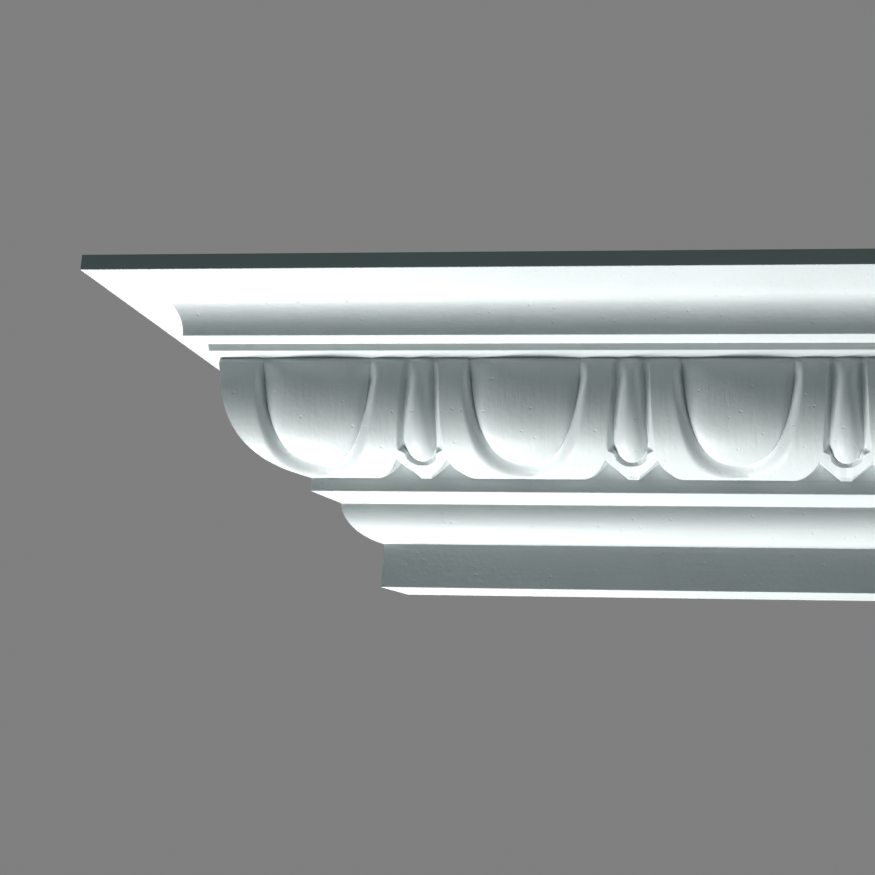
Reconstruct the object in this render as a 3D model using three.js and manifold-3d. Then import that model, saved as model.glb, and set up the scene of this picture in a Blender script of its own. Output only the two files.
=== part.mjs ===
// A length of egg and dart cornice, cast in one piece.
// Millimetres, +Z up. X runs along the moulding, with the mitred end at -X, and the
// front faces -Y. The origin is the middle of the face that goes against the wall.
import * as THREE from 'three';
import { mergeVertices } from 'three/addons/utils/BufferGeometryUtils.js';
import Module from 'manifold-3d';

// The length, from the tip of the mitre to the square end.
const length = 460;

// The members of the profile, in order from the ceiling down and from the front back.
const fasciaHeight = 8.8;
const soffitDepth = 34.5;
const coveDepth = 12;
const coveHeight = 18.3;
const upperLedgeDepth = 11.5;
const quirkDepth = 0.6;
const quirkHeight = 3.7;
const lowerLedgeDepth = 4.7;
const lowerLedgeDrop = 1.9;
const ovoloDepth = 44.4;
const ovoloHeight = 53;
const ovoloFullness = 2.5;
const bandSetback = 2.6;
const bandHeight = 7.6;
const bedLedgeDepth = 14.7;
const bedLedgeDrop = 1.9;
const bedRoundDepth = 20.9;
const bedRoundHeight = 16.5;
const bottomFasciaStep = 0.8;
const bottomFasciaHeight = 25.4;
const footDepth = 13.3;

// The mouldings are mitred at 45 degrees. The plate above them runs on past the mitre
// and is cut on a steeper line, which is this far in from the tip at the wall.
const plateInsetAtWall = 50;

// The carved course. Widths are along the moulding. Places down the ovolo are angles
// in degrees, 0 at the ledge above it and 90 at the band below it.
const pitch = 114;
const firstEggFromTip = 118;
const eggHalfWidth = 30;
const eggTaper = 0.08;
const eggFoot = 80;
const eggRise = 1;
const eggGrooveDepth = 5.6;
const huskEdgeHalfWidth = 35;
const huskEdgeFoot = 91;
const huskFall = 1.6;
const dartHalfWidthAtTop = 5.4;
const dartHalfWidthAtShoulder = 7.7;
const dartShoulder = 52;
const dartFoot = 71.5;
const dartFootLength = 16.3;
const dartRidge = 0.6;
const dartEdgeDrop = 2.8;
const dartRounding = 2.4;
const dartGrooveDepth = 4.2;
const dartGrooveWidth = 1.4;
const dartWallWidth = 4.2;
const collarWallWidth = 1;
const collarGrooveWidth = 1;
const collarTop = 56.3;
const collarStep = 3.5;
const notchPeak = 65.5;
const notchPeakFromEgg = 43;
const huskFootHalfWidth = 29.5;
const huskCornerFullness = 1.9;
const notchWallAngle = 3;
const notchRecess = 9.4;
const notchCoveDepth = 1.2;
const notchGroundProud = 0.1;
const arrowHalfWidth = 13.8;
const arrowTipHalfWidth = 3;
const arrowTipDrop = 0.8;
const reliefAtLedge = 0.3;
const ledgeFade = 14;

// Facets.
const coveSteps = 6;
const bedRoundSteps = 6;
const carvedRows = 24;
const eggColumns = 8;
const huskWallColumns = 3;
const huskFaceColumns = 3;
const dartWallColumns = 3;
const dartColumns = 3;

// How far the cutting solids stand clear of what they cut.
const cutMargin = 20;
const degree = Math.PI / 180;
const halfPitch = pitch / 2;

const clamp = (value) => Math.min(1, Math.max(0, value));
const mix = (a, b, t) => a + (b - a) * t;
const smooth = (value) => clamp(value) ** 2 * (3 - 2 * clamp(value));

// The corners of the profile. Depth is measured back from the front and drop is
// measured down from the ceiling.
const corner = (depth, drop) => ({ depth, drop });
const beyond = (start, depth, drop) => corner(start.depth + depth, start.drop + drop);
const fasciaTop = corner(0, 0);
const fasciaFoot = beyond(fasciaTop, 0, fasciaHeight);
const coveTop = beyond(fasciaFoot, soffitDepth, 0);
const coveFoot = beyond(coveTop, coveDepth, coveHeight);
const quirkTop = beyond(coveFoot, upperLedgeDepth, 0);
const quirkFoot = beyond(quirkTop, quirkDepth, quirkHeight);
const ovoloTop = beyond(quirkFoot, lowerLedgeDepth, lowerLedgeDrop);
const ovoloFoot = beyond(ovoloTop, ovoloDepth, ovoloHeight);
const bandTop = beyond(ovoloFoot, bandSetback, 0);
const bandFoot = beyond(bandTop, 0, bandHeight);
const bedRoundTop = beyond(bandFoot, bedLedgeDepth, bedLedgeDrop);
const bedRoundFoot = beyond(bedRoundTop, bedRoundDepth, bedRoundHeight);
const bottomFasciaTop = beyond(bedRoundFoot, bottomFasciaStep, 0);
const bottomFasciaFoot = beyond(bottomFasciaTop, 0, bottomFasciaHeight);
const wallFoot = beyond(bottomFasciaFoot, footDepth, 0);
const wallTop = corner(wallFoot.depth, fasciaTop.drop);
const projection = wallFoot.depth;
const height = wallFoot.drop;

// Points round a quarter of an ellipse. A hollow one leaves its start level and ends
// upright, and a round one leaves its start upright and ends level.
function quarter(start, depth, drop, steps, hollow) {
  return Array.from({ length: steps }, (_, i) => {
    const angle = (90 * (i + 1) / steps) * degree;
    const near = 1 - Math.cos(angle);
    const far = Math.sin(angle);
    return hollow ? beyond(start, depth * far, drop * near) : beyond(start, depth * near, drop * far);
  });
}

// The smooth ovolo, a quarter round that is a little fuller than an ellipse.
function ovoloPoint(angle) {
  const across = Math.cos(angle * degree);
  const down = Math.sin(angle * degree);
  const power = ovoloFullness;
  const reach = (Math.abs(across) ** power + Math.abs(down) ** power) ** (-1 / power);
  return beyond(ovoloTop, ovoloDepth * (1 - reach * across), ovoloHeight * reach * down);
}

// The direction straight out of the ovolo.
function ovoloOutward(angle) {
  const before = ovoloPoint(Math.max(0, angle - 0.1));
  const after = ovoloPoint(Math.min(90, angle + 0.1));
  const along = Math.hypot(after.depth - before.depth, after.drop - before.drop);
  return corner((before.drop - after.drop) / along, (after.depth - before.depth) / along);
}

// The egg narrows towards its foot. It stands in a groove, and the husk's inner wall
// climbs out of that groove to an edge that is fuller than the egg. Beside the egg the
// wall starts steep and flattens, and under the egg it is steepest halfway up.
const eggWidthAt = (angle) => eggHalfWidth * (1 - eggTaper * angle / eggFoot);

function eggRelief(fromEgg, angle) {
  const reach = Math.hypot(fromEgg / eggWidthAt(angle), angle / eggFoot);
  if (reach < 1) return mix(-eggGrooveDepth, eggRise, (1 - reach ** 2.4) ** 0.5);
  const edgeReach = Math.hypot(fromEgg / huskEdgeHalfWidth, angle / huskEdgeFoot);
  const wall = clamp((reach - 1) / Math.max(reach / edgeReach - 1, 0.001));
  const fall = huskFall * clamp((fromEgg - eggHalfWidth) / (halfPitch - eggHalfWidth)) ** 2;
  const under = clamp((angle / eggFoot / reach) ** 2);
  return mix(-eggGrooveDepth, -fall, mix(1 - (1 - wall) ** 2, smooth(wall), under));
}

// The dart widens down to its shoulder and ends in a rounded foot, with a groove all
// round it. The groove's outer wall is broad at the sides and steep at the collar of
// the arrow head, round the foot.
const dartHalfWidth = (angle) =>
  mix(dartHalfWidthAtTop, dartHalfWidthAtShoulder, clamp(angle / dartShoulder));

const belowShoulder = (angle) => Math.max(0, angle - dartShoulder) / (dartFoot - dartShoulder);
const dartReach = (fromDart, angle) =>
  Math.hypot(fromDart / dartHalfWidth(angle), belowShoulder(angle));

function dartRelief(fromDart, angle) {
  const reach = dartReach(fromDart, angle);
  if (reach < 1) return mix(dartRidge, -dartEdgeDrop, reach ** dartRounding);
  const slope = Math.hypot(fromDart / dartHalfWidth(angle) ** 2, belowShoulder(angle) / dartFootLength);
  const outside = (reach - 1) * reach / slope;
  const atCollar = smooth((angle - collarTop) / collarStep);
  const grooveWidth = mix(dartGrooveWidth, collarGrooveWidth, atCollar);
  const wallWidth = mix(dartWallWidth, collarWallWidth, atCollar);
  const side = smooth(outside / grooveWidth);
  const wall = smooth((outside - grooveWidth) / wallWidth);
  return mix(mix(-dartEdgeDrop, -dartGrooveDepth, side), 0, wall);
}

// The angle at which the ornament ends: at the band under the egg and at the tip of
// the arrow head, and short of it in the notch between them.
function ornamentFoot(fromEgg) {
  const fromDart = halfPitch - fromEgg;
  const husk = (fromEgg - huskFootHalfWidth) / (notchPeakFromEgg - huskFootHalfWidth);
  const arrow = (fromDart - arrowTipHalfWidth) / (arrowHalfWidth - arrowTipHalfWidth);
  return mix(90, notchPeak, Math.min(clamp(husk) ** huskCornerFullness, clamp(arrow)));
}

// The ground in a notch: the face of the band running up into a small cove.
function notchGround(angle) {
  const up = 1 - clamp((angle - notchPeak) / (90 - notchPeak));
  return beyond(bandTop, -notchGroundProud - notchCoveDepth * up ** 3, -notchRecess * up);
}

// How far the carving stands above the ovolo. The dart's groove cuts into the husk and
// stops short of the egg, and all of it is shallower under the ledge.
function relief(fromEgg, angle, hasDart) {
  const under = mix(reliefAtLedge, 1, smooth(angle / ledgeFade));
  const egg = eggRelief(fromEgg, angle);
  if (!hasDart || fromEgg < eggHalfWidth) return under * egg;
  const fromDart = halfPitch - fromEgg;
  const dart = dartRelief(fromDart, angle);
  return under * (dartReach(fromDart, angle) < 1 ? dart : Math.min(egg, dart));
}

// A point on the carved ovolo, a distance along from the nearest egg's middle.
function carvedPoint(fromEgg, angle, hasDart) {
  const fromDart = halfPitch - fromEgg;
  const surface = ovoloPoint(angle);
  const outward = ovoloOutward(angle);
  const rise = relief(fromEgg, angle, hasDart) * smooth((90 - angle) / notchWallAngle);
  const tip = arrowTipDrop * smooth((angle - notchPeak) / (90 - notchPeak));
  const tipDrop = tip * smooth(2 - fromDart / arrowTipHalfWidth);
  const ground = notchGround(angle);
  const open = smooth((angle - ornamentFoot(fromEgg)) / notchWallAngle);
  return corner(
    mix(surface.depth + rise * outward.depth, ground.depth, open),
    mix(surface.drop + rise * outward.drop + tipDrop, ground.drop, open),
  );
}

// The lines that the columns of facets follow between an egg's middle and a dart's:
// the egg's edge, the top of the husk's wall, and the outer edge and shaft of the dart.
// Towards the foot all but the egg's edge turn to the corners of the husk's foot, the
// notch and the arrow.
const eggEdgeAtFoot = 14.8;
const columnsTurn = 52;
const linesAtFoot = [
  0, eggEdgeAtFoot, huskFootHalfWidth, notchPeakFromEgg, halfPitch - arrowTipHalfWidth, halfPitch,
];
function columnLines(angle) {
  const round = (foot) => Math.sqrt(1 - Math.min(angle / foot, 0.84) ** 2);
  const eggEdge = eggWidthAt(angle) * round(eggFoot);
  const wallTop = huskEdgeHalfWidth * round(huskEdgeFoot);
  const shaft = halfPitch - dartHalfWidth(angle);
  const huskEdge = shaft - dartGrooveWidth - dartWallWidth;
  const lines = [0, eggEdge, wallTop, huskEdge, shaft, halfPitch];
  const turn = smooth((angle - columnsTurn) / (notchPeak - columnsTurn));
  return lines.map((line, i) => (i === 1 ? line : mix(line, linesAtFoot[i], turn)));
}
const columnCounts = [eggColumns, huskWallColumns, huskFaceColumns, dartWallColumns, dartColumns];

// Distances from an egg's middle to each column, at one angle down the ovolo.
function columnPlaces(angle) {
  const lines = columnLines(angle);
  const places = columnCounts.flatMap((count, line) =>
    Array.from({ length: count }, (_, i) => mix(lines[line], lines[line + 1], i / count)));
  return [...places, halfPitch];
}

// The plain bar has every member but the ovolo. It is cut back on a slant behind the
// carving, and the band is carried up a little so that the carving laps it.
const carvingLap = 2;
const carvingLapDepth = 6;
const slantSetback = 15;
function plainBar() {
  const outline = [
    fasciaTop, fasciaFoot, coveTop,
    ...quarter(coveTop, coveDepth, coveHeight, coveSteps, true),
    quirkTop, quirkFoot, ovoloTop,
    beyond(ovoloTop, slantSetback, 0),
    beyond(bandTop, carvingLapDepth, -carvingLap),
    beyond(bandTop, 0, -carvingLap),
    bandFoot, bedRoundTop,
    ...quarter(bedRoundTop, bedRoundDepth, bedRoundHeight, bedRoundSteps, false),
    bottomFasciaTop, bottomFasciaFoot, wallFoot, wallTop,
  ];
  const section = new THREE.Shape(outline.map((point) => new THREE.Vector2(point.depth, -point.drop)));
  const run = length + 4 * cutMargin;
  const geometry = new THREE.ExtrudeGeometry(section, { depth: run, bevelEnabled: false });
  const alongX = new THREE.Matrix4().makeBasis(
    new THREE.Vector3(0, 1, 0), new THREE.Vector3(0, 0, 1), new THREE.Vector3(1, 0, 0));
  return geometry.applyMatrix4(alongX).translate(-2 * cutMargin, 0, 0);
}

// A column is one place along from an egg's middle, towards one of its two darts.
function columnsAlong() {
  const first = -Math.ceil((firstEggFromTip + cutMargin) / pitch);
  const last = Math.ceil((length - firstEggFromTip + cutMargin) / pitch);
  const count = columnPlaces(0).length;
  const columns = [];
  for (let egg = first; egg <= last; egg += 1) {
    const middle = firstEggFromTip + egg * pitch;
    for (let place = count - 1; place > 0; place -= 1) columns.push({ middle, side: -1, place });
    for (let place = 0; place < count - 1; place += 1) columns.push({ middle, side: 1, place });
  }
  return [...columns, { ...columns.at(-1), place: count - 1 }];
}

// The carved strip: rows of facets down the ovolo at every column, and a plain back
// inside the bar, closed by a flat cap at each end. X starts at the tip of the mitre.
// The husk of the first egg runs on to the mitre, with no dart between them.
function carvedStrip() {
  const back = [
    beyond(bandTop, 2 * carvingLapDepth, 0),
    beyond(ovoloTop, 2 * slantSetback, -carvingLap / 2),
  ];
  const angles = Array.from({ length: carvedRows }, (_, row) =>
    90 * (1 - (1 - (row + 1) / carvedRows) ** 1.25));
  const section = (column) => {
    const along = (place) => column.middle + column.side * place;
    const hasDart = column.middle + column.side * halfPitch > firstEggFromTip;
    const carved = angles.map((angle) => {
      const place = columnPlaces(angle)[column.place];
      const point = carvedPoint(place, angle, hasDart);
      return [along(place), point.depth, -point.drop];
    });
    const first = columnPlaces(0)[column.place];
    const top = [along(first), carvedPoint(first, 0, hasDart).depth, -back[1].drop];
    const behind = [
      [along(columnPlaces(90)[column.place]), back[0].depth, -back[0].drop],
      [along(first), back[1].depth, -back[1].drop],
    ];
    return [top, ...carved, ...behind];
  };
  const sections = columnsAlong().map(section);
  const around = sections[0].length;
  const faces = [];
  for (let c = 0; c + 1 < sections.length; c += 1) {
    for (let r = 0; r < around; r += 1) {
      const here = c * around + r;
      const below = c * around + (r + 1) % around;
      faces.push(here, below, below + around, here, below + around, here + around);
    }
  }
  const outline = sections[0].map(([, depth, up]) => new THREE.Vector2(depth, up));
  const lastSection = (sections.length - 1) * around;
  for (const [a, b, c] of THREE.ShapeUtils.triangulateShape(outline, [])) {
    faces.push(a, c, b, lastSection + a, lastSection + b, lastSection + c);
  }
  const geometry = new THREE.BufferGeometry();
  geometry.setAttribute('position', new THREE.Float32BufferAttribute(sections.flat(2), 3));
  geometry.setIndex(faces);
  return geometry;
}

// An upright prism on a plan outline of [along, depth] corners.
function prism(corners, top, bottom) {
  const plan = new THREE.Shape(corners.map(([along, depth]) => new THREE.Vector2(along, depth)));
  const geometry = new THREE.ExtrudeGeometry(plan, { depth: top - bottom, bevelEnabled: false });
  geometry.translate(0, 0, bottom);
  return geometry;
}

const wasm = await Module();
wasm.setup();

function solidFrom(geometry) {
  const bare = geometry.clone();
  bare.deleteAttribute('normal');
  bare.deleteAttribute('uv');
  const merged = mergeVertices(bare, 1e-4);
  return new wasm.Manifold(new wasm.Mesh({
    numProp: 3,
    vertProperties: new Float32Array(merged.attributes.position.array),
    triVerts: new Uint32Array(merged.index.array),
  }));
}

// Corners that the cuts leave closer together than this are made one.
const weldDistance = 0.01;
function geometryFrom(solid) {
  const mesh = solid.getMesh();
  const cut = new THREE.BufferGeometry();
  cut.setAttribute('position', new THREE.BufferAttribute(new Float32Array(mesh.vertProperties), 3));
  cut.setIndex(Array.from(mesh.triVerts));
  const geometry = mergeVertices(cut, weldDistance);
  const corners = geometry.index.array;
  const faces = [];
  for (let i = 0; i < corners.length; i += 3) {
    const [a, b, c] = corners.slice(i, i + 3);
    if (a !== b && b !== c && c !== a) faces.push(a, b, c);
  }
  geometry.setIndex(faces);
  geometry.computeVertexNormals();
  return geometry;
}

// The whole plan: the plate's steep cut on the left and the square cut on the right,
// both carried on in front of the fascia and behind the wall face.
const platePast = cutMargin * plateInsetAtWall / projection;
const wholePlan = [
  [-platePast, -cutMargin],
  [length, -cutMargin],
  [length, projection + cutMargin],
  [plateInsetAtWall + platePast, projection + cutMargin],
];

// The wedge that the mitre takes away, up to the underside of the plate. It starts
// under the soffit, because nothing hangs below the plate in front of that.
const mitreStart = soffitDepth / 2;
const mitrePlan = [
  [mitreStart, mitreStart],
  [projection + cutMargin, projection + cutMargin],
  [-cutMargin, projection + cutMargin],
  [-cutMargin, mitreStart],
];

const cornice = solidFrom(plainBar())
  .add(solidFrom(carvedStrip()))
  .intersect(solidFrom(prism(wholePlan, cutMargin, -height - cutMargin)))
  .subtract(solidFrom(prism(mitrePlan, -fasciaHeight, -height - cutMargin)));

const castGeometry = geometryFrom(cornice);
castGeometry.translate(-(length + projection) / 2, -projection, height / 2);

const paintedPlaster = new THREE.MeshStandardMaterial({ color: 0xeceeec, roughness: 0.55, metalness: 0 });
const castLength = new THREE.Mesh(castGeometry, paintedPlaster);
castLength.name = 'cornice';

const moulding = new THREE.Group();
moulding.add(castLength);

export default moulding;
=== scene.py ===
# %% [markdown]
# # A length of egg and dart cornice
#
# This is the kind of ceiling moulding that is cast in gypsum plaster from a rubber
# mould and painted white: a plain fascia, a cove, two small ledges, a bold ovolo carved
# with eggs and darts, a band, a quarter round and a bottom fascia against the wall. One
# end is mitred for an outside corner and the other is cut square. The lesson builds it
# as a plasterer would think of it: a plain run section, a carved strip laid on it, the
# two made one casting, and then the ends sawn.

# %%
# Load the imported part
import math

import bpy
import numpy as np
from mathutils import Matrix, Vector


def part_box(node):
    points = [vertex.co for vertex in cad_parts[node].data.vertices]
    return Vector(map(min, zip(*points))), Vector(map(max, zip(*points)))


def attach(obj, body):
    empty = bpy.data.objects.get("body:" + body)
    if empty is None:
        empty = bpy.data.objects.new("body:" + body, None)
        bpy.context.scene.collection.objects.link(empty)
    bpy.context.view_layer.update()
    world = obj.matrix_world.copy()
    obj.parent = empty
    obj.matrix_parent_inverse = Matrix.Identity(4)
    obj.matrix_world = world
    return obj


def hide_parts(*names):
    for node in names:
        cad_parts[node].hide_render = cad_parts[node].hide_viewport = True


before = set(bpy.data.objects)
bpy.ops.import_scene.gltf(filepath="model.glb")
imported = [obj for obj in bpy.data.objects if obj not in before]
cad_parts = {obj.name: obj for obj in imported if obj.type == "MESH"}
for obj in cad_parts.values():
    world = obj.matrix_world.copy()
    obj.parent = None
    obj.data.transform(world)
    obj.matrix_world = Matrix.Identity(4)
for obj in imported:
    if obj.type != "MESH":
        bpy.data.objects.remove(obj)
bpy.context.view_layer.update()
low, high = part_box("cornice")
MM = 0.001
print("the casting measures", [round((high[i] - low[i]) / MM, 1) for i in range(3)], "mm")

# %% [markdown]
# The frame gives the outer box of the casting. Inside it, each member of the profile
# has its own size in millimetres, as on a plasterer's drawing. Depth is measured back
# from the front edge and drop is measured down from the ceiling, so the same numbers
# serve wherever the piece is hung.

# %%
# The members of the profile
FASCIA_HEIGHT = 8.8
SOFFIT_DEPTH = 34.5
COVE_DEPTH, COVE_HEIGHT = 12.0, 18.3
UPPER_LEDGE_DEPTH = 11.5
QUIRK_DEPTH, QUIRK_HEIGHT = 0.6, 3.7
LOWER_LEDGE_DEPTH, LOWER_LEDGE_DROP = 4.7, 1.9
OVOLO_DEPTH, OVOLO_HEIGHT, OVOLO_FULLNESS = 44.4, 53.0, 2.5
BAND_SETBACK, BAND_HEIGHT = 2.6, 7.6
BED_LEDGE_DEPTH, BED_LEDGE_DROP = 14.7, 1.9
BED_ROUND_DEPTH, BED_ROUND_HEIGHT = 20.9, 16.5
BOTTOM_FASCIA_STEP = 0.8
ARRIS = 0.45

LENGTH = (high[0] - low[0]) / MM
PROJECTION = (high[1] - low[1]) / MM
HEIGHT = (high[2] - low[2]) / MM


def beyond(start, depth, drop):
    return (start[0] + depth, start[1] + drop)


FASCIA_TOP = (0.0, 0.0)
FASCIA_FOOT = beyond(FASCIA_TOP, 0, FASCIA_HEIGHT)
COVE_TOP = beyond(FASCIA_FOOT, SOFFIT_DEPTH, 0)
COVE_FOOT = beyond(COVE_TOP, COVE_DEPTH, COVE_HEIGHT)
QUIRK_TOP = beyond(COVE_FOOT, UPPER_LEDGE_DEPTH, 0)
QUIRK_FOOT = beyond(QUIRK_TOP, QUIRK_DEPTH, QUIRK_HEIGHT)
OVOLO_TOP = beyond(QUIRK_FOOT, LOWER_LEDGE_DEPTH, LOWER_LEDGE_DROP)
OVOLO_FOOT = beyond(OVOLO_TOP, OVOLO_DEPTH, OVOLO_HEIGHT)
BAND_TOP = beyond(OVOLO_FOOT, BAND_SETBACK, 0)
BAND_FOOT = beyond(BAND_TOP, 0, BAND_HEIGHT)
BED_ROUND_TOP = beyond(BAND_FOOT, BED_LEDGE_DEPTH, BED_LEDGE_DROP)
BED_ROUND_FOOT = beyond(BED_ROUND_TOP, BED_ROUND_DEPTH, BED_ROUND_HEIGHT)
BOTTOM_FASCIA_TOP = beyond(BED_ROUND_FOOT, BOTTOM_FASCIA_STEP, 0)
print("the ovolo starts", OVOLO_TOP, "and ends", OVOLO_FOOT, "mm back and down")

# %% [markdown]
# The camera comes first, because everything after it is judged through it. It stands
# in the room, well below the ceiling line, and looks up at the moulding with a long
# lens. There is no lens shift: a small turn and roll of the camera do the framing.

# %%
# The camera
PICTURE_WIDTH = 875.0
FOCAL_IN_PIXELS = 2500.0
SENSOR = 36.0
CAMERA_PLACE = (0.0846, -1.3277, -0.4814)
CAMERA_YAW, CAMERA_PITCH, CAMERA_ROLL = 9.559, 20.658, 3.616


def add_camera():
    yaw, pitch, roll = (math.radians(a) for a in (CAMERA_YAW, CAMERA_PITCH, CAMERA_ROLL))
    ahead = Vector((-math.sin(yaw) * math.cos(pitch), math.cos(yaw) * math.cos(pitch),
                    math.sin(pitch)))
    level = Vector((math.cos(yaw), math.sin(yaw), 0.0))
    above = level.cross(ahead)
    right = level * math.cos(roll) + above * math.sin(roll)
    upward = above * math.cos(roll) - level * math.sin(roll)
    bpy.ops.object.camera_add(location=CAMERA_PLACE)
    camera = bpy.context.object
    camera.name = "camera"
    camera.rotation_euler = Matrix((right, upward, -ahead)).transposed().to_euler()
    camera.data.sensor_width = SENSOR
    camera.data.lens = FOCAL_IN_PIXELS / PICTURE_WIDTH * SENSOR
    bpy.context.scene.camera = camera
    return camera


camera = add_camera()
print("the lens is", round(camera.data.lens, 1), "mm")

# %% [markdown]
# The plain run is one flat outline pulled along. A plasterer's zinc profile does the
# same job on the bench. The outline is made from a filled circle whose points are moved
# to their places, because a circle already has its points in order round it, and then
# it is extruded. Each corner gets a small arris, as casting and paint leave it. Where the
# carved strip will lie, the outline slants back behind it and laps it a little at both
# edges, so that the two can be joined.

# %%
# The outline of the plain run
LAP, LAP_DEPTH, SLANT_SETBACK = 2.0, 6.0, 15.0
CURVE_STEPS = 24
ARRIS_STEPS = 3


def quarter(start, depth, drop, hollow):
    points = []
    for i in range(1, CURVE_STEPS + 1):
        angle = math.radians(90.0 * i / CURVE_STEPS)
        near, far = 1.0 - math.cos(angle), math.sin(angle)
        along = (far, near) if hollow else (near, far)
        points.append(beyond(start, depth * along[0], drop * along[1]))
    return points


def eased(points, corners):
    out = []
    for i, point in enumerate(points):
        if point not in corners:
            out.append(point)
            continue
        here = Vector(point)
        before = (Vector(points[i - 1]) - here).normalized() * ARRIS
        after = (Vector(points[(i + 1) % len(points)]) - here).normalized() * ARRIS
        for k in range(ARRIS_STEPS + 1):
            t = k / ARRIS_STEPS
            out.append(tuple(here + before * (1 - t) ** 2 + after * t ** 2))
    return out


def plain_outline():
    foot = (BOTTOM_FASCIA_TOP[0], HEIGHT)
    outline = [FASCIA_TOP, FASCIA_FOOT, COVE_TOP]
    outline += quarter(COVE_TOP, COVE_DEPTH, COVE_HEIGHT, True)[:-1]
    outline += [COVE_FOOT, QUIRK_TOP, QUIRK_FOOT, OVOLO_TOP, beyond(OVOLO_TOP, SLANT_SETBACK, 0)]
    outline += [beyond(BAND_TOP, LAP_DEPTH, -LAP), beyond(BAND_TOP, 0, -LAP)]
    outline += [BAND_FOOT, BED_ROUND_TOP]
    outline += quarter(BED_ROUND_TOP, BED_ROUND_DEPTH, BED_ROUND_HEIGHT, False)
    outline += [BOTTOM_FASCIA_TOP, foot, (PROJECTION, HEIGHT), (PROJECTION, 0.0)]
    corners = [FASCIA_FOOT, COVE_FOOT, QUIRK_FOOT, BAND_FOOT, BED_ROUND_TOP, foot]
    return eased(outline, corners)


print("the plain outline has", len(plain_outline()), "points")

# %%
# Pull the outline along
SAW_MARGIN = 20.0


def deselect():
    if bpy.context.object and bpy.context.object.mode == "EDIT":
        bpy.ops.object.mode_set(mode="OBJECT")
    bpy.ops.object.select_all(action="DESELECT")


def face_outwards():
    """Turn every face outwards, from edit mode, and go back to object mode."""
    bpy.ops.mesh.select_all(action="SELECT")
    bpy.ops.mesh.normals_make_consistent(inside=False)
    bpy.ops.object.mode_set(mode="OBJECT")


def pull(outline, way, name):
    deselect()
    bpy.ops.mesh.primitive_circle_add(vertices=len(outline), radius=1.0, fill_type="NGON")
    solid = bpy.context.object
    solid.name = name
    for vertex, place in zip(solid.data.vertices, outline):
        vertex.co = place
    bpy.ops.object.mode_set(mode="EDIT")
    bpy.ops.mesh.select_all(action="SELECT")
    bpy.ops.mesh.extrude_region_move(TRANSFORM_OT_translate={"value": way})
    face_outwards()
    return solid


end_outline = [(-2 * SAW_MARGIN, depth, -drop) for depth, drop in plain_outline()]
casting = pull(end_outline, (LENGTH + 4 * SAW_MARGIN, 0, 0), "cornice_casting")
print("the plain run has", len(casting.data.polygons), "faces")

# %% [markdown]
# The ornament is a course of eggs in their husks, with a dart between each pair. It all
# lies on an ovolo, a quarter round a little fuller than an ellipse, so a place on it is
# an angle down the quarter and a distance along from the nearest egg. Each form is a
# height above or below that round: the egg is a dome in a groove, the husk's inner wall
# climbs out of the groove, and the dart is a ridged shaft with a groove round it.

# %%
# The sizes of the ornament, in millimetres along and degrees down
PITCH, FIRST_EGG = 114.0, 118.0
HALF_PITCH = PITCH / 2
EGG_HALF_WIDTH, EGG_TAPER, EGG_FOOT, EGG_RISE = 30.0, 0.08, 80.0, 1.0
EGG_FULLNESS, EGG_GROOVE_DEPTH, HUSK_FALL = 2.4, 5.6, 1.6
HUSK_EDGE_HALF_WIDTH, HUSK_EDGE_FOOT = 35.0, 91.0
DART_TOP, DART_AT_SHOULDER = 5.4, 7.7
DART_SHOULDER, DART_FOOT, DART_FOOT_LENGTH = 52.0, 71.5, 16.3
DART_RIDGE, DART_EDGE_DROP, DART_ROUNDING = 0.6, 2.8, 2.4
DART_GROOVE_DEPTH = 4.2
DART_GROOVE_WIDTH, COLLAR_GROOVE_WIDTH = 1.4, 1.0
DART_WALL_WIDTH, COLLAR_WALL_WIDTH = 4.2, 1.0
COLLAR_TOP, COLLAR_STEP = 56.3, 3.5
NOTCH_PEAK, NOTCH_PEAK_FROM_EGG = 65.5, 43.0
HUSK_FOOT_HALF_WIDTH, HUSK_CORNER_FULLNESS = 29.5, 1.9
NOTCH_FADE, NOTCH_RECESS, NOTCH_COVE_DEPTH, NOTCH_GROUND_PROUD = 3.0, 9.4, 1.2, 0.1
ARROW_HALF_WIDTH, ARROW_TIP_HALF_WIDTH, ARROW_TIP_DROP = 13.8, 3.0, 0.8
RELIEF_AT_LEDGE, LEDGE_FADE = 0.14, 14.0
SLOPE_STEP, TINY = 0.1, 0.001


def mix(a, b, t):
    return a + (b - a) * t


def smooth(value):
    t = np.clip(value, 0.0, 1.0)
    return t * t * (3.0 - 2.0 * t)


def ovolo(angle):
    across, down = np.cos(np.radians(angle)), np.sin(np.radians(angle))
    power = OVOLO_FULLNESS
    reach = (np.abs(across) ** power + np.abs(down) ** power) ** (-1.0 / power)
    depth = OVOLO_TOP[0] + OVOLO_DEPTH * (1.0 - reach * across)
    drop = OVOLO_TOP[1] + OVOLO_HEIGHT * reach * down
    return depth, drop


def ovolo_outward(angle):
    before = ovolo(np.maximum(0.0, angle - SLOPE_STEP))
    after = ovolo(np.minimum(90.0, angle + SLOPE_STEP))
    along = np.hypot(after[0] - before[0], after[1] - before[1])
    return (before[1] - after[1]) / along, (after[0] - before[0]) / along


# %%
# The relief of the egg and the husk


def egg_width(angle):
    return EGG_HALF_WIDTH * (1.0 - EGG_TAPER * angle / EGG_FOOT)


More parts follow.
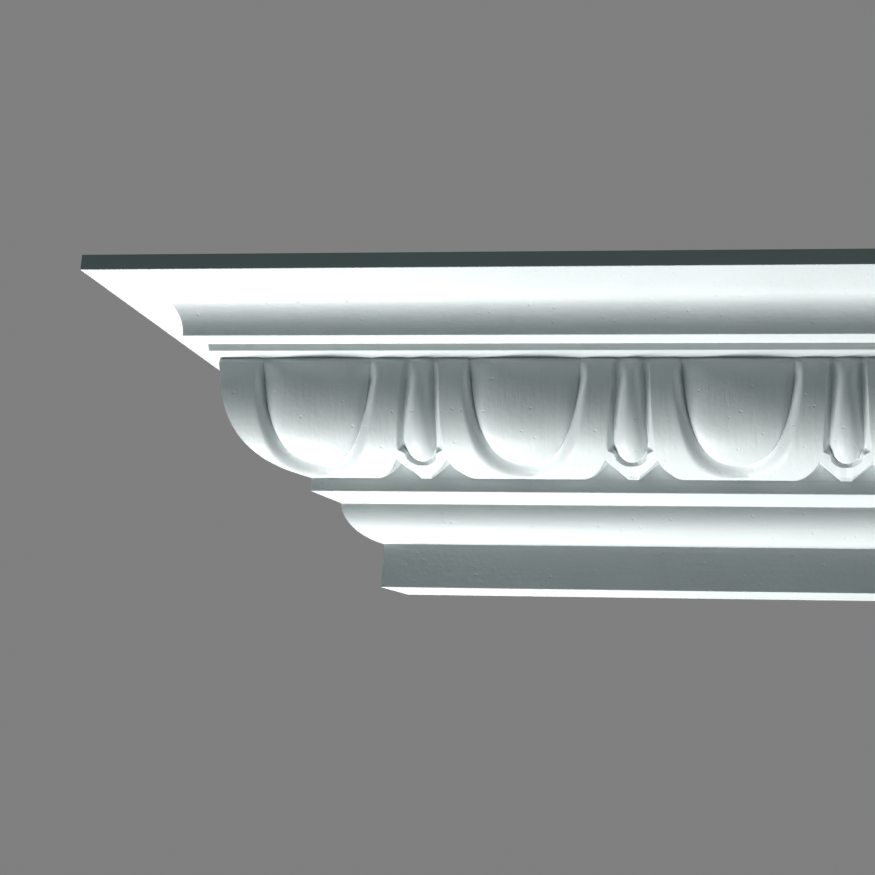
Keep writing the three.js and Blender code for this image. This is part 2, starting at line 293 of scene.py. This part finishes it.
def egg_relief(from_egg, angle):
    reach = np.hypot(from_egg / egg_width(angle), angle / EGG_FOOT)
    rounding = np.clip(1.0 - reach ** EGG_FULLNESS, 0.0, 1.0) ** 0.5
    dome = mix(-EGG_GROOVE_DEPTH, EGG_RISE, rounding)
    edge_reach = np.hypot(from_egg / HUSK_EDGE_HALF_WIDTH, angle / HUSK_EDGE_FOOT)
    to_edge = reach / np.maximum(edge_reach, TINY) - 1.0
    wall = np.clip((reach - 1.0) / np.maximum(to_edge, TINY), 0.0, 1.0)
    outward = np.clip((from_egg - EGG_HALF_WIDTH) / (HALF_PITCH - EGG_HALF_WIDTH), 0.0, 1.0)
    under = np.clip((angle / EGG_FOOT / np.maximum(reach, TINY)) ** 2, 0.0, 1.0)
    climb = mix(1.0 - (1.0 - wall) ** 2, smooth(wall), under)
    husk = mix(-EGG_GROOVE_DEPTH, -HUSK_FALL * outward ** 2, climb)
    return np.where(reach < 1.0, dome, husk)


# %%
# The relief of the dart, in its groove, with the collar of its arrow head


def dart_half_width(angle):
    return mix(DART_TOP, DART_AT_SHOULDER, np.clip(angle / DART_SHOULDER, 0.0, 1.0))


def below_shoulder(angle):
    return np.maximum(0.0, angle - DART_SHOULDER) / (DART_FOOT - DART_SHOULDER)


def dart_reach(from_dart, angle):
    return np.hypot(from_dart / dart_half_width(angle), below_shoulder(angle))


def dart_relief(from_dart, angle):
    reach = dart_reach(from_dart, angle)
    shaft = mix(DART_RIDGE, -DART_EDGE_DROP, np.clip(reach, 0.0, 1.0) ** DART_ROUNDING)
    slope = np.hypot(from_dart / dart_half_width(angle) ** 2,
                     below_shoulder(angle) / DART_FOOT_LENGTH)
    outside = (reach - 1.0) * reach / np.maximum(slope, TINY)
    at_collar = smooth((angle - COLLAR_TOP) / COLLAR_STEP)
    groove_width = mix(DART_GROOVE_WIDTH, COLLAR_GROOVE_WIDTH, at_collar)
    wall_width = mix(DART_WALL_WIDTH, COLLAR_WALL_WIDTH, at_collar)
    side = mix(-DART_EDGE_DROP, -DART_GROOVE_DEPTH, smooth(outside / groove_width))
    groove = mix(side, 0.0, smooth((outside - groove_width) / wall_width))
    return np.where(reach < 1.0, shaft, groove)


# %% [markdown]
# No two eggs carved by hand are quite alike, and the mould kept that. A slow waver of
# about a tenth of a millimetre is added to the relief. It is a sum of waves of unlike
# lengths, so it never repeats with the pitch and is the same on every run. Under the
# ledge the carver's first cut leaves the top of the ornament a little shy, and the relief
# starts shallow there, so that the ledge keeps a straight line.

# %%
# The waver of the hand, and the shy top
WAVER, WAVER_PHASE = 0.04, 1.7
WAVER_LENGTHS = ((83.0, 61.0), (47.0, -39.0), (-31.0, 53.0))
SHY_TOP, SHY_TOP_ANGLE = 0.6, 3.6


def waver(along, down):
    height = 0.0
    for i, (wave_along, wave_down) in enumerate(WAVER_LENGTHS):
        turns = along / wave_along + down / wave_down
        height = height + np.sin(2 * np.pi * turns + WAVER_PHASE * i)
    return WAVER * height


# %% [markdown]
# Between the foot of each husk and the arrow head of the dart there is a notch, where
# the carver cut right back to the ground. The ornament's lower edge is worked out as an
# angle for every place along. Below it a wall goes straight back to the ground, which is
# the face of the band running up into a little cove.

# %%
# Where the ornament ends, and the ground of the notches


def ornament_foot(from_egg):
    from_dart = HALF_PITCH - from_egg
    husk = (from_egg - HUSK_FOOT_HALF_WIDTH) / (NOTCH_PEAK_FROM_EGG - HUSK_FOOT_HALF_WIDTH)
    arrow = (from_dart - ARROW_TIP_HALF_WIDTH) / (ARROW_HALF_WIDTH - ARROW_TIP_HALF_WIDTH)
    short = np.minimum(np.clip(husk, 0.0, 1.0) ** HUSK_CORNER_FULLNESS, np.clip(arrow, 0.0, 1.0))
    return mix(90.0, NOTCH_PEAK, short)


def notch_ground(angle):
    up = 1.0 - np.clip((angle - NOTCH_PEAK) / (90.0 - NOTCH_PEAK), 0.0, 1.0)
    depth = BAND_TOP[0] - NOTCH_GROUND_PROUD - NOTCH_COVE_DEPTH * up ** 3
    return depth, BAND_TOP[1] - NOTCH_RECESS * up


# %%
# A point anywhere on the ornament


def carved(along, from_egg, angle, has_dart):
    from_dart = HALF_PITCH - from_egg
    depth, drop = ovolo(angle)
    out_depth, out_drop = ovolo_outward(angle)
    egg = egg_relief(from_egg, angle)
    dart = dart_relief(from_dart, angle)
    beside_dart = np.where(dart_reach(from_dart, angle) < 1.0, dart, np.minimum(egg, dart))
    relief = np.where(has_dart & (from_egg > EGG_HALF_WIDTH), beside_dart, egg)
    relief = relief * mix(RELIEF_AT_LEDGE, 1.0, smooth(angle / LEDGE_FADE))
    relief = relief + waver(along, drop) - SHY_TOP * (1.0 - smooth(angle / SHY_TOP_ANGLE))
    rise = relief * smooth((90.0 - angle) / NOTCH_FADE)
    towards_foot = (angle - NOTCH_PEAK) / (90.0 - NOTCH_PEAK)
    tip = ARROW_TIP_DROP * smooth(towards_foot) * smooth(2.0 - from_dart / ARROW_TIP_HALF_WIDTH)
    return depth + rise * out_depth, drop + rise * out_drop + tip


# %% [markdown]
# The carved strip starts as a flat grid. Its columns are bent to follow the edges of
# the egg, the husk and the dart, and its rows to follow the ornament's lower edge, so
# that each edge runs along a line of the mesh and stays crisp. Below the last row of
# the ornament come rows for the wall of the notch and for its ground. The last rows go
# round the back, inside the plain run, and the first and last are welded, which makes
# the grid a closed tube. Then its ends are capped.

# %%
# Where the columns run
COLUMN_COUNTS = (26, 10, 9, 11, 15)
UPPER_ROWS, LOWER_ROWS, WALL_ROWS, GROUND_ROWS = 62, 58, 4, 10
LOWER_ROWS_START, EDGE_ANGLE = 56.0, 0.45
EDGE_LIMIT = 0.84
EGG_LINE_AT_FOOT = 14.8
LINES_AT_FOOT = (0.0, EGG_LINE_AT_FOOT, HUSK_FOOT_HALF_WIDTH, NOTCH_PEAK_FROM_EGG,
                 HALF_PITCH - ARROW_TIP_HALF_WIDTH, HALF_PITCH)
LINES_TURN = 52.0


def column_lines(angle):
    egg_edge = egg_width(angle) * np.sqrt(1.0 - np.minimum(angle / EGG_FOOT, EDGE_LIMIT) ** 2)
    wall_share = np.minimum(angle / HUSK_EDGE_FOOT, EDGE_LIMIT)
    wall_top = HUSK_EDGE_HALF_WIDTH * np.sqrt(1.0 - wall_share ** 2)
    shaft = HALF_PITCH - dart_half_width(angle)
    dart_edge = shaft - DART_GROOVE_WIDTH - DART_WALL_WIDTH
    lines = [0 * angle, egg_edge, wall_top, dart_edge, shaft, 0 * angle + HALF_PITCH]
    turn = smooth((angle - LINES_TURN) / (NOTCH_PEAK - LINES_TURN))
    turned = [mix(line, foot, turn) for line, foot in zip(lines, LINES_AT_FOOT)]
    turned[1] = egg_edge
    return np.stack(turned, axis=-1)


def half_columns():
    """Each column as the line that it follows and how far it is towards the next."""
    half = []
    for line, count in enumerate(COLUMN_COUNTS):
        half += [(line, i / count) for i in range(count)]
    return half + [(len(COLUMN_COUNTS) - 1, 1.0)]


def all_columns():
    """Each column as its egg's middle, its side of that egg, its line and its share.

    They start at the dart before the first egg, which the mitre takes away, and end at
    the dart after the last one.
    """
    half = half_columns()
    eggs = math.ceil((LENGTH - FIRST_EGG) / PITCH) + 1
    across = [(FIRST_EGG - PITCH, 1, *place) for place in half[len(half) // 2:-1]]
    for egg in range(eggs):
        middle = FIRST_EGG + egg * PITCH
        across += [(middle, -1, *place) for place in half[:0:-1]]
        across += [(middle, 1, *place) for place in half[:-1]]
    return across + [(middle, 1, *half[-1])]


columns = all_columns()
print("the carving has", len(columns), "columns")

# %%
# Where the rows run


def places_along(angle, side, middle, line, part):
    lines = column_lines(angle)
    pick = np.broadcast_to(line.astype(int)[None, :, None], angle.shape + (1,))
    near = np.take_along_axis(lines, pick, axis=-1)[..., 0]
    far = np.take_along_axis(lines, pick + 1, axis=-1)[..., 0]
    from_egg = mix(near, far, part)
    return middle + side * from_egg, from_egg


def strip_places():
    middle, side, line, part = (np.array(values) for values in zip(*columns))
    foot_lines = np.array(LINES_AT_FOOT)
    at_foot = mix(foot_lines[line.astype(int)], foot_lines[line.astype(int) + 1], part)
    foot = ornament_foot(at_foot)
    along_foot = middle + side * at_foot
    upper = np.linspace(0.0, LOWER_ROWS_START, UPPER_ROWS, endpoint=False)
    upper = upper[:, None] + 0 * foot
    share = np.linspace(0.0, 1.0, LOWER_ROWS)[:, None]
    angle = np.concatenate([upper, mix(LOWER_ROWS_START, foot - EDGE_ANGLE, share)])
    along, from_egg = places_along(angle, side, middle, line, part)
    has_dart = middle + side * HALF_PITCH > FIRST_EGG
    depth, drop = carved(along, from_egg, angle, has_dart)

    ground = notch_ground(foot)
    share = np.linspace(0.0, 1.0, WALL_ROWS + 1)[1:, None]
    wall = (mix(depth[-1], ground[0], share), mix(drop[-1], ground[1], share))
    share = np.linspace(0.0, 1.0, GROUND_ROWS + 1)[1:, None]
    cove = notch_ground(mix(foot, 90.0, share))

    inside = 0 * foot + OVOLO_TOP[1] - LAP / 2
    top = (along[0], depth[0], inside)
    back_low = (along_foot, 0 * foot + BAND_TOP[0] + 2 * LAP_DEPTH, 0 * foot + BAND_TOP[1])
    back_top = (along[0], 0 * foot + OVOLO_TOP[0] + 2 * SLANT_SETBACK, inside)
    rows = [top, *zip(along[1:], depth[1:], drop[1:]), *zip([along_foot] * WALL_ROWS, *wall),
            *zip([along_foot] * GROUND_ROWS, *cove), back_low, back_top, top]
    places = np.array(rows)
    return np.stack([places[:, 0], places[:, 1], -places[:, 2]], axis=-1)


# %%
# Bend the grid into the carved strip
WELD_MM = 0.001


def carve_strip():
    places = strip_places()
    rows, across = places.shape[:2]
    deselect()
    bpy.ops.mesh.primitive_grid_add(x_subdivisions=across - 1, y_subdivisions=rows - 1, size=1.0)
    strip = bpy.context.object
    strip.name = "carved_strip"
    flat = np.empty(len(strip.data.vertices) * 3)
    strip.data.vertices.foreach_get("co", flat)
    flat = flat.reshape(-1, 3)
    column = np.rint((flat[:, 0] + 0.5) * (across - 1)).astype(int)
    row = np.rint((0.5 - flat[:, 1]) * (rows - 1)).astype(int)
    strip.data.vertices.foreach_set("co", places[row, column].ravel())
    strip.data.update()
    bpy.ops.object.mode_set(mode="EDIT")
    bpy.ops.mesh.select_all(action="SELECT")
    bpy.ops.mesh.remove_doubles(threshold=WELD_MM)
    bpy.ops.mesh.select_all(action="SELECT")
    bpy.ops.mesh.fill_holes(sides=0)
    face_outwards()
    return strip


strip = carve_strip()
print("the carved strip has", len(strip.data.polygons), "faces")

# %% [markdown]
# The two solids become one casting with a Boolean modifier. Then the ends are sawn. Two
# of the cuts go right through, so they are bisect cuts with the cut filled: the square
# end, and the steep cut of the top plate. A bisect keeps each number of its direction
# within one, so a longer direction is made a unit long first. The mitre stops at the
# underside of the plate, so it is a wedge taken away with a second Boolean.

# %%
# Join and saw
PLATE_INSET_AT_WALL = 50.0


def work_on(piece):
    deselect()
    piece.select_set(True)
    bpy.context.view_layer.objects.active = piece


def combine(target, tool, operation):
    work_on(target)
    bpy.ops.object.modifier_add(type="BOOLEAN")
    modifier = target.modifiers[-1]
    modifier.object = tool
    modifier.operation = operation
    modifier.solver = "EXACT"
    bpy.ops.object.modifier_apply(modifier=modifier.name)
    bpy.data.objects.remove(tool, do_unlink=True)


def saw(piece, place, outward):
    work_on(piece)
    bpy.ops.object.mode_set(mode="EDIT")
    bpy.ops.mesh.select_all(action="SELECT")
    bpy.ops.mesh.bisect(plane_co=place, plane_no=Vector(outward).normalized(),
                        use_fill=True, clear_outer=True)
    bpy.ops.object.mode_set(mode="OBJECT")


def mitre_wedge():
    start, far = SOFFIT_DEPTH / 2, PROJECTION + SAW_MARGIN
    plan = [(start, start), (far, far), (-SAW_MARGIN, far), (-SAW_MARGIN, start)]
    outline = [(along, depth, -FASCIA_HEIGHT) for along, depth in plan]
    return pull(outline, (0, 0, -HEIGHT - SAW_MARGIN), "mitre_wedge")


combine(casting, strip, "UNION")
saw(casting, (LENGTH, 0, 0), (1, 0, 0))
saw(casting, (0, 0, 0), (-PROJECTION, PLATE_INSET_AT_WALL, 0))
combine(casting, mitre_wedge(), "DIFFERENCE")
print("the sawn casting has", len(casting.data.polygons), "faces")

# %%
# Put the casting in its place, in metres
WELD_METRES, SMOOTH_ANGLE = 0.000002, 34.0


def place_casting():
    work_on(casting)
    casting.scale = (MM, MM, MM)
    casting.location = (low[0], low[1], high[2])
    bpy.ops.object.transform_apply(location=True, rotation=False, scale=True)
    bpy.ops.object.mode_set(mode="EDIT")
    bpy.ops.mesh.select_all(action="SELECT")
    bpy.ops.mesh.remove_doubles(threshold=WELD_METRES)
    face_outwards()
    bpy.ops.object.shade_smooth_by_angle(angle=math.radians(SMOOTH_ANGLE))


place_casting()
corners = np.array([v.co for v in casting.data.vertices])
print("the casting lies between", corners.min(axis=0).round(4),
      "and", corners.max(axis=0).round(4))

# %% [markdown]
# The front is gypsum plaster under white satin emulsion. What shows is a slight
# unevenness of the coat, a soft stipple, small pits where air was caught in the cast, and
# brush marks. They run down the ovolo, where a small brush followed the carving, and more
# faintly along the plain members. The back, the top and the sawn ends are bare plaster,
# which is chalkier, warmer and has wider air holes. The middle of each air hole is
# coloured darker, and that darker colour is painted shade inside the hole.

# %%
# Helpers for colours and shader nodes
VALUE_A, VALUE_B, COLOUR_A, COLOUR_B = 2, 3, 6, 7
VALUE_OUT, COLOUR_OUT = 0, 2


def linear(hex_colour):
    channels = [int(hex_colour[i:i + 2], 16) / 255 for i in (1, 3, 5)]
    curved = [c / 12.92 if c <= 0.04045 else ((c + 0.055) / 1.055) ** 2.4 for c in channels]
    return (*curved, 1.0)


def add_node(material, kind, settings=None, links=None):
    node = material.node_tree.nodes.new(kind)
    for name, value in (settings or {}).items():
        if name in node.inputs:
            node.inputs[name].default_value = value
        else:
            setattr(node, name, value)
    for name, source in (links or {}).items():
        material.node_tree.links.new(source, node.inputs[name])
    return node


def new_material(name):
    material = bpy.data.materials.new(name)
    material.use_nodes = True
    return material, material.node_tree.nodes["Principled BSDF"]


def per_metre(size_mm):
    return 1.0 / (size_mm * MM)


def noise(material, vector, size_mm, detail):
    settings = {"Scale": per_metre(size_mm), "Detail": detail}
    return add_node(material, "ShaderNodeTexNoise", settings, {"Vector": vector}).outputs["Fac"]


def two_tone(material, share, shade, light):
    colour = add_node(material, "ShaderNodeMix", {"data_type": "RGBA"}, {"Factor": share})
    colour.inputs[COLOUR_A].default_value = linear(shade)
    colour.inputs[COLOUR_B].default_value = linear(light)
    return colour.outputs[COLOUR_OUT]


def compare(material, operation, value, limit):
    node = add_node(material, "ShaderNodeMath", {"operation": operation}, {0: value})
    node.inputs[1].default_value = limit
    return node.outputs[0]


def hollows(material, place, spacing_mm, bottom, edge):
    """The cells of a Voronoi, and a value that is 0 in the middle of each and 1 outside."""
    cells = add_node(material, "ShaderNodeTexVoronoi", {"Scale": per_metre(spacing_mm)},
                     {"Vector": place})
    hollow = add_node(material, "ShaderNodeMapRange", {"From Min": bottom, "From Max": edge},
                      {"Value": cells.outputs["Distance"]})
    return cells, hollow.outputs["Result"]


def bump(material, height, strength, distance_mm, under=None):
    settings = {"Strength": strength, "Distance": distance_mm * MM}
    node = add_node(material, "ShaderNodeBump", settings, {"Height": height})
    if under:
        material.node_tree.links.new(under, node.inputs["Normal"])
    return node.outputs["Normal"]


# %%
# The painted plaster. Each bump has a strength and a distance in millimetres
PAINT_LIGHT, PAINT_SHADE = "#E8EBEB", "#DFE2E2"
PAINT_IOR, PAINT_ROUGHNESS = 1.48, 0.52
COAT_PATCH_MM, STIPPLE_MM, BRUSH_MM = 45.0, 2.4, 2.6
BRUSH_STRETCH, RUN_STREAK_SHARE = 0.16, 0.3
PIT_SPACING_MM, PIT_EDGE, PIT_FLOOR, PITS_LEFT_OUT = 5.5, 0.16, 0.02, 0.55
BRUSH_BUMP, PIT_BUMP, STIPPLE_BUMP = (0.7, 0.3), (0.6, 0.32), (0.5, 0.22)


def brush_marks(material, place):
    """Streaks down the ovolo, and fainter ones along the plain run."""
    streaks = []
    for stretch in ((1.0, BRUSH_STRETCH, BRUSH_STRETCH), (BRUSH_STRETCH, 1.0, 1.0)):
        vector = add_node(material, "ShaderNodeMapping", {"Scale": stretch}, {"Vector": place})
        streaks.append(noise(material, vector.outputs["Vector"], BRUSH_MM, detail=4.0))
    down_ovolo, along_run = streaks
    up = add_node(material, "ShaderNodeSeparateXYZ", None, {"Vector": place}).outputs["Z"]
    below = compare(material, "LESS_THAN", up, high[2] - OVOLO_TOP[1] * MM)
    above = compare(material, "GREATER_THAN", up, high[2] - OVOLO_FOOT[1] * MM)
    on_ovolo = add_node(material, "ShaderNodeMath", {"operation": "MULTIPLY"}, {0: below, 1: above})
    fainter = add_node(material, "ShaderNodeMapRange", {"To Max": RUN_STREAK_SHARE},
                       {"Value": along_run})
    marks = add_node(material, "ShaderNodeMix", None, {
        "Factor": on_ovolo.outputs[0], VALUE_A: fainter.outputs["Result"], VALUE_B: down_ovolo})
    return marks.outputs[VALUE_OUT]


def pits(material, place):
    """Small round hollows, in some cells of a Voronoi."""
    cells, hollow = hollows(material, place, PIT_SPACING_MM, PIT_FLOOR, PIT_EDGE)
    chance = add_node(material, "ShaderNodeSeparateXYZ", None, {"Vector": cells.outputs["Color"]})
    left_out = compare(material, "LESS_THAN", chance.outputs["X"], PITS_LEFT_OUT)
    return add_node(material, "ShaderNodeMath", {"operation": "MAXIMUM"},
                    {0: hollow, 1: left_out}).outputs[0]


def painted_plaster():
    material, shader = new_material("satin_emulsion_on_cast_plaster")
    link = material.node_tree.links.new
    place = add_node(material, "ShaderNodeTexCoord").outputs["Object"]
    patches = noise(material, place, COAT_PATCH_MM, detail=3.0)
    link(two_tone(material, patches, PAINT_SHADE, PAINT_LIGHT), shader.inputs["Base Color"])
    shader.inputs["Roughness"].default_value = PAINT_ROUGHNESS
    shader.inputs["IOR"].default_value = PAINT_IOR
    stipple = noise(material, place, STIPPLE_MM, detail=3.0)
    normal = bump(material, brush_marks(material, place), *BRUSH_BUMP)
    normal = bump(material, pits(material, place), *PIT_BUMP, normal)
    normal = bump(material, stipple, *STIPPLE_BUMP, normal)
    link(normal, shader.inputs["Normal"])
    return material


# %%
# The bare plaster of the back, the top and the sawn ends
# The third colour is painted shade, laid in the middle of each air hole
BARE_LIGHT, BARE_SHADE, HOLE_PAINTED_SHADE = "#E9E6DE", "#D3CFC5", "#9C978C"
BARE_ROUGHNESS = 0.92
AIR_HOLE_SPACING_MM, SAW_LINE_MM = 7.0, 1.6
AIR_HOLE_FLOOR, AIR_HOLE_EDGE = 0.05, 0.13
SAW_LINE_BUMP, AIR_HOLE_BUMP = (0.5, 0.2), (0.7, 0.8)


def bare_plaster():
    material, shader = new_material("bare_cast_plaster")
    link = material.node_tree.links.new
    place = add_node(material, "ShaderNodeTexCoord").outputs["Object"]
    patches = noise(material, place, COAT_PATCH_MM, detail=6.0)
    colour = two_tone(material, patches, BARE_SHADE, BARE_LIGHT)
    # The air holes are sunk with a bump, and the middle of each is coloured darker: that darker
    # colour is painted shade inside the hole
    hole_bump_and_painted_shade = hollows(material, place, AIR_HOLE_SPACING_MM, AIR_HOLE_FLOOR, AIR_HOLE_EDGE)[1]
    colour_with_painted_hole_shade = add_node(material, "ShaderNodeMix", {"data_type": "RGBA"},
                     {"Factor": hole_bump_and_painted_shade, COLOUR_B: colour})
    colour_with_painted_hole_shade.inputs[COLOUR_A].default_value = linear(HOLE_PAINTED_SHADE)
    link(colour_with_painted_hole_shade.outputs[COLOUR_OUT], shader.inputs["Base Color"])
    shader.inputs["Roughness"].default_value = BARE_ROUGHNESS
    lines = noise(material, place, SAW_LINE_MM, detail=3.0)
    normal = bump(material, lines, *SAW_LINE_BUMP)
    normal = bump(material, hole_bump_and_painted_shade, *AIR_HOLE_BUMP, normal)
    link(normal, shader.inputs["Normal"])
    return material


# %%
# Paint the front and leave the rest bare
SAME_WAY = 0.9999


def paint_casting():
    casting.data.materials.clear()
    casting.data.materials.append(painted_plaster())
    casting.data.materials.append(bare_plaster())
    mitre = Vector((-1, 1, 0)).normalized()
    plate_end = Vector((-PROJECTION, PLATE_INSET_AT_WALL, 0)).normalized()
    bare_ways = [Vector((0, 1, 0)), Vector((0, 0, 1)), Vector((1, 0, 0)), mitre, plate_end]
    bare = 0
    for face in casting.data.polygons:
        is_bare = max(face.normal.dot(way) for way in bare_ways) > SAME_WAY
        face.material_index = 1 if is_bare else 0
        bare += is_bare
    return bare


print("bare faces", paint_casting())
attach(casting, "root")
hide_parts("cornice")

# %% [markdown]
# The studio is plain. The strong light is a long soft box low down and to the left, so
# it comes from under the moulding as light comes up from a room: it fills every surface
# that faces down and leaves the upright ones to what the ledges throw on them. A weak
# box low on the right lifts the darkest walls. Three more are for the sides that the
# camera turns away from: one above and behind for the top and the back, and one for each
# end. The floor is far below, with a box of its own just above it, and it throws no light
# on the moulding. A view gamma below one gives the picture its contrast.

# %%
# The studio
BACKGROUND_GREY = "#9B9B9B"
FLOOR_LEVEL, FLOOR_SIZE = -2.0, 12.0
KEY_WATTS, FILL_WATTS, TOP_WATTS, END_WATTS = 20.2, 1.8, 46.0, 9.0
FLOOR_WATTS, FLOOR_LAMP_HEIGHT = 400.0, 0.8
FLOOR_COLOUR, FLOOR_ROUGHNESS = "#D8D8D6", 0.9
AMBIENT, AMBIENT_COLOUR = 0.16, (0.8, 1.0, 0.99, 1.0)
CONTRAST_GAMMA = 0.72


def soft_box(name, place, aim, size, watts):
    deselect()
    bpy.ops.object.light_add(type="AREA", location=place)
    lamp = bpy.context.object
    lamp.name = name
    lamp.rotation_euler = (Vector(aim) - Vector(place)).to_track_quat("-Z", "Y").to_euler()
    lamp.data.shape = "RECTANGLE"
    lamp.data.size, lamp.data.size_y = size
    lamp.data.energy = watts
    lamp.visible_camera = False


def plain_floor():
    deselect()
    bpy.ops.mesh.primitive_plane_add(size=FLOOR_SIZE, location=(0, 0, FLOOR_LEVEL))
    floor = bpy.context.object
    floor.name = "floor"
    material, shader = new_material("pale_floor")
    shader.inputs["Base Color"].default_value = linear(FLOOR_COLOUR)
    shader.inputs["Roughness"].default_value = FLOOR_ROUGHNESS
    floor.data.materials.append(material)
    floor.visible_diffuse = False
    floor.visible_glossy = False


def plain_world():
    world = bpy.data.worlds.new("studio")
    world.use_nodes = True
    link = world.node_tree.links.new
    bpy.context.scene.world = world
    backdrop = world.node_tree.nodes["Background"]
    backdrop.inputs["Color"].default_value = linear(BACKGROUND_GREY)
    fill = add_node(world, "ShaderNodeBackground", {"Color": AMBIENT_COLOUR, "Strength": AMBIENT})
    ray = add_node(world, "ShaderNodeLightPath")
    both = add_node(world, "ShaderNodeMixShader", None, {"Fac": ray.outputs["Is Camera Ray"]})
    link(fill.outputs["Background"], both.inputs[1])
    link(backdrop.outputs["Background"], both.inputs[2])
    link(both.outputs["Shader"], world.node_tree.nodes["World Output"].inputs["Surface"])


plain_floor()
plain_world()
soft_box("low_left_box", (-0.6, 0.01, -1.1), (-0.05, -0.09, 0.0), (0.2, 1.0), KEY_WATTS)
soft_box("low_right_box", (0.75, -0.08, -0.6), (-0.05, -0.09, 0.0), (0.3, 0.3), FILL_WATTS)
soft_box("high_back_box", (0.0, 1.2, 1.6), (-0.05, -0.05, 0.0), (1.2, 1.2), TOP_WATTS)
soft_box("right_end_box", (1.5, 0.8, 0.3), (0.1, -0.05, 0.0), (1.0, 1.0), END_WATTS)
soft_box("mitre_box", (-1.5, 0.9, 0.3), (-0.2, -0.05, 0.0), (1.0, 1.0), END_WATTS)
soft_box("floor_box", (0.0, 0.0, FLOOR_LEVEL + FLOOR_LAMP_HEIGHT), (0.0, 0.0, FLOOR_LEVEL),
         (FLOOR_SIZE, FLOOR_SIZE), FLOOR_WATTS)
bpy.context.scene.view_settings.view_transform = "Standard"
bpy.context.scene.view_settings.gamma = CONTRAST_GAMMA
print("the floor is", FLOOR_LEVEL, "m down")
